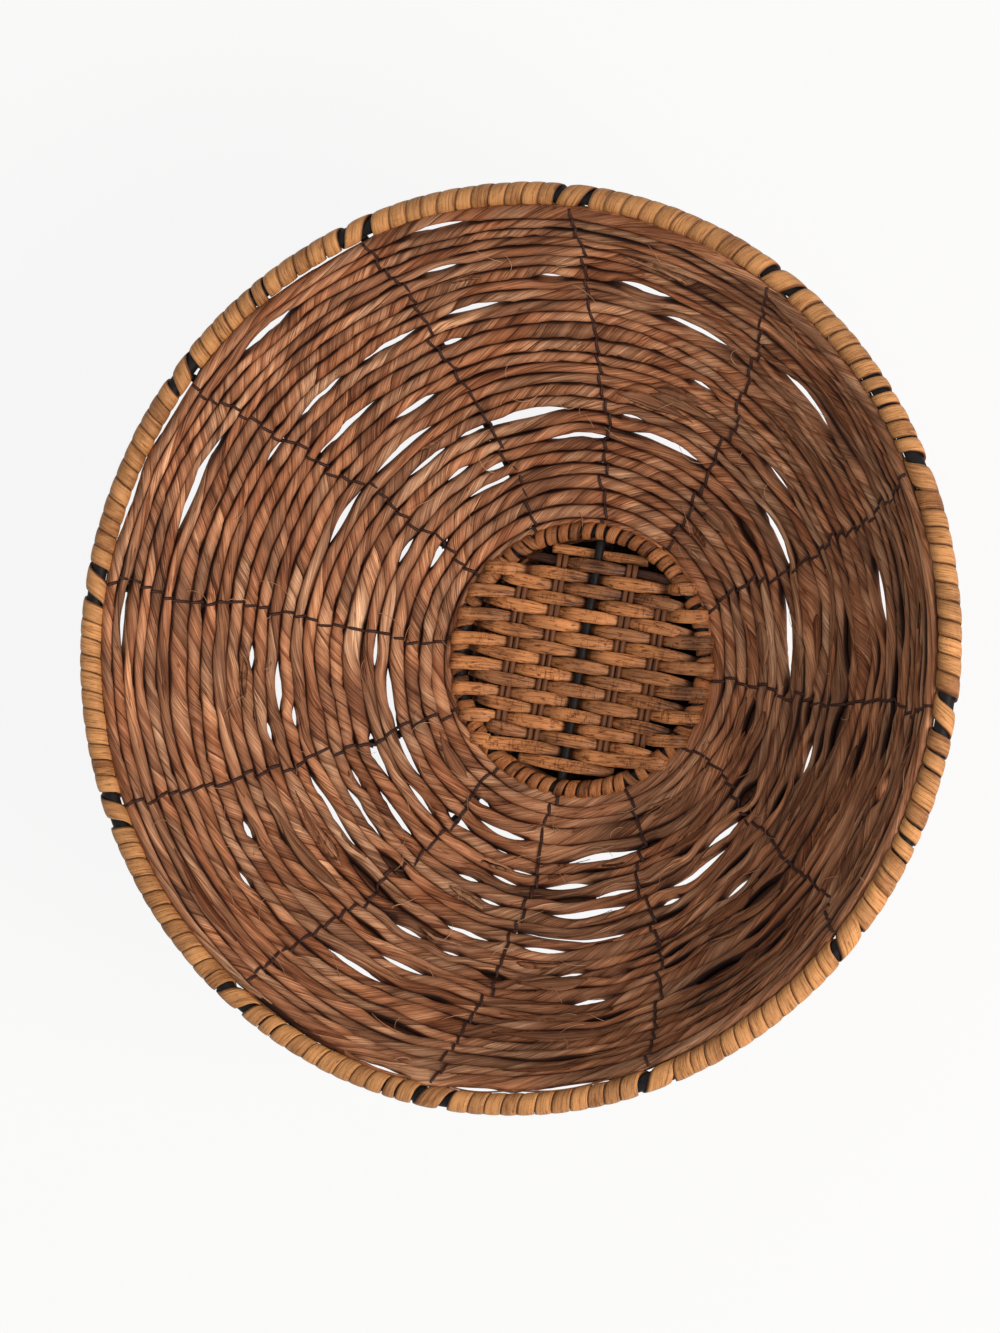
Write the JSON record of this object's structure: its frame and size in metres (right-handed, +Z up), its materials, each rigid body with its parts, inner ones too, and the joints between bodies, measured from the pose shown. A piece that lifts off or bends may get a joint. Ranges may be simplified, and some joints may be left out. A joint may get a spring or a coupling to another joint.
{
  "type": "wicker pedestal basket",
  "caption": "Shallow round bowl of coiled fibre rope lashed to a black steel wire frame, with a cane-bound rim, a woven reed base mat and a low waisted foot, for fruit or display.",
  "frame": {"origin": "on the floor under the middle of the foot", "axes": "+Z up along the basket's axis; +X to the right and +Y to the top of the reference picture"},
  "size_m": [0.3198, 0.3198, 0.1416],
  "materials": {
    "steel": "black paint, satin",
    "cane": "natural binding cane, satin",
    "rope": "twisted dried leaf fibre, dull",
    "thread": "waxed thread, dark brown",
    "reed": "half-round reed, dull",
    "stake_reed": "stained thin reed, dull"
  },
  "bodies": {
    "root": {"base_hoop": "steel", "base_wrap_back_1": "cane", "base_wrap_back_2": "cane", "base_wrap_front_1": "cane", "base_wrap_front_2": "cane", "bowl_rope": "rope", "cross_bar": "steel", "edge_reed_back": "reed", "edge_reed_front": "reed", "foot_hoop": "steel", "foot_rope": "rope", "foot_wrap": "cane", "mat_stake_01": "stake_reed", "mat_stake_02": "stake_reed", "mat_stake_03": "stake_reed", "mat_stake_04": "stake_reed", "mat_stake_05": "stake_reed", "mat_stake_06": "stake_reed", "mat_stake_07": "stake_reed", "mat_stake_08": "stake_reed", "mat_weaver": "reed", "rib_01": "steel", "rib_02": "steel", "rib_03": "steel", "rib_04": "steel", "rib_05": "steel", "rib_06": "steel", "rib_07": "steel", "rib_08": "steel", "rib_09": "steel", "rib_10": "steel", "rib_11": "steel", "rib_12": "steel", "rim_hoop": "steel", "rim_wrap_01": "cane", "rim_wrap_02": "cane", "rim_wrap_03": "cane", "rim_wrap_04": "cane", "rim_wrap_05": "cane", "rim_wrap_06": "cane", "rim_wrap_07": "cane", "rim_wrap_08": "cane", "rim_wrap_09": "cane", "rim_wrap_10": "cane", "rim_wrap_11": "cane", "rim_wrap_12": "cane", "stitch_01": "thread", "stitch_02": "thread", "stitch_03": "thread", "stitch_04": "thread", "stitch_05": "thread", "stitch_06": "thread", "stitch_07": "thread", "stitch_08": "thread", "stitch_09": "thread", "stitch_10": "thread", "stitch_11": "thread", "stitch_12": "thread"}
  },
  "joints": []
}
